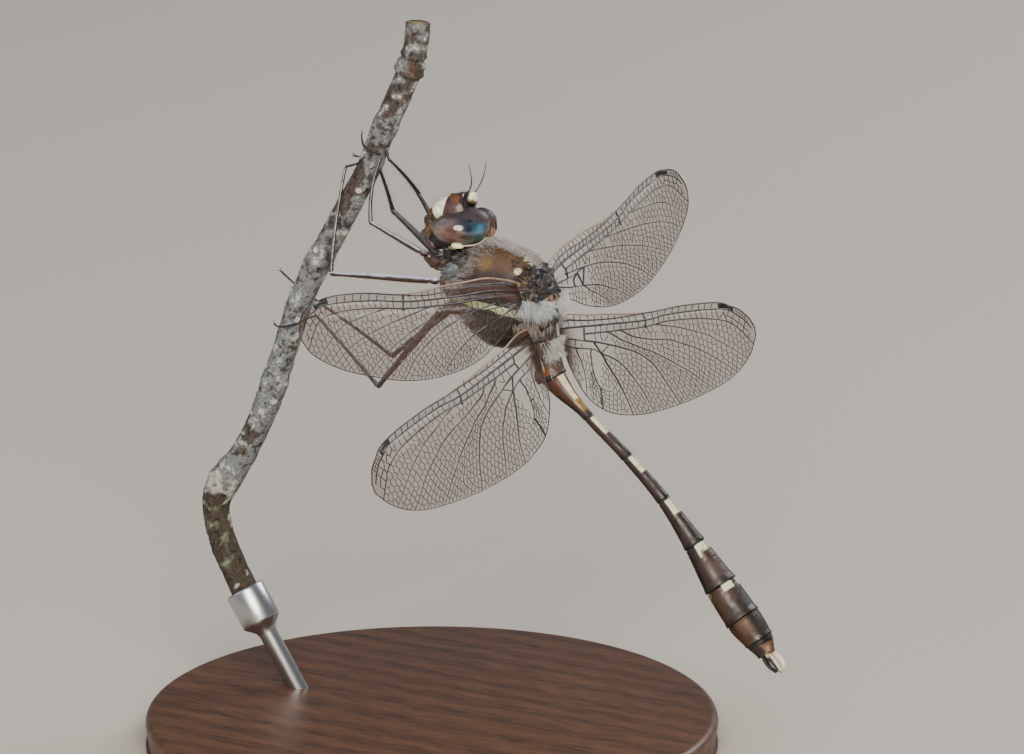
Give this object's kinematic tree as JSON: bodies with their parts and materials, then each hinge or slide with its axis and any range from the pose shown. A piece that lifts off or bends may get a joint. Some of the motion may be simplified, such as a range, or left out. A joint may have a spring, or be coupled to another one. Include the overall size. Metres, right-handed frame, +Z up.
{
  "type": "dragonfly",
  "caption": "Life-size dragonfly clinging to a leaning twig with its wings spread, on a round display stand.",
  "frame": {"origin": "centre of the stand's flat underside, where it rests on the floor", "axes": "+Z up, the animal's head to -X and its tail to +X, its left side to -Y and its right side to +Y"},
  "size_m": [0.0714, 0.0808, 0.0777],
  "materials": {
    "cuticle_chestnut": "glossy chestnut cuticle with grey down",
    "cuticle_dark": "glossy dark brown cuticle",
    "cuticle_amber": "glossy amber brown cuticle with cream marks",
    "face": "glossy chestnut and cream face",
    "eye": "polished mauve-brown compound eye",
    "horn_black": "satin black-brown",
    "cream": "satin cream",
    "wing": "clear, faintly smoky membrane with dark veins",
    "bark": "grey bark with pale lichen",
    "rod": "brushed steel",
    "base": "satin walnut"
  },
  "bodies": {
    "root": {"skull": "cuticle_dark", "face": "face", "eye_left": "eye", "eye_right": "eye", "antenna_left": "horn_black", "antenna_right": "horn_black", "thorax": "cuticle_chestnut", "collar": "cuticle_chestnut", "forewing_left": "wing", "forewing_right": "wing", "hindwing_left": "wing", "hindwing_right": "wing", "abdomen_1": "cuticle_amber", "abdomen_2": "cuticle_amber", "abdomen_3": "cuticle_amber", "abdomen_4": "cuticle_dark", "abdomen_5": "cuticle_dark", "abdomen_6": "cuticle_dark", "abdomen_7": "cuticle_dark", "abdomen_8": "cuticle_dark", "abdomen_9": "cuticle_dark", "abdomen_10": "cuticle_dark", "cercus_left": "cream", "cercus_right": "cream", "epiproct": "cuticle_amber", "perch_twig": "bark", "coxa_fore_left": "cuticle_chestnut", "femur_fore_left": "cuticle_dark", "tibia_fore_left": "cuticle_dark", "tarsus_fore_left": "horn_black", "coxa_fore_right": "cuticle_chestnut", "femur_fore_right": "cuticle_dark", "tibia_fore_right": "cuticle_dark", "tarsus_fore_right": "horn_black", "coxa_mid_left": "cuticle_chestnut", "femur_mid_left": "cuticle_dark", "tibia_mid_left": "cuticle_dark", "tarsus_mid_left": "horn_black", "coxa_mid_right": "cuticle_chestnut", "femur_mid_right": "cuticle_dark", "tibia_mid_right": "cuticle_dark", "tarsus_mid_right": "horn_black", "coxa_hind_left": "cuticle_chestnut", "femur_hind_left": "cuticle_dark", "tibia_hind_left": "cuticle_dark", "tarsus_hind_left": "horn_black", "coxa_hind_right": "cuticle_chestnut", "femur_hind_right": "cuticle_dark", "tibia_hind_right": "cuticle_dark", "tarsus_hind_right": "horn_black", "stand_rod": "rod", "stand_base": "base"}
  },
  "joints": []
}
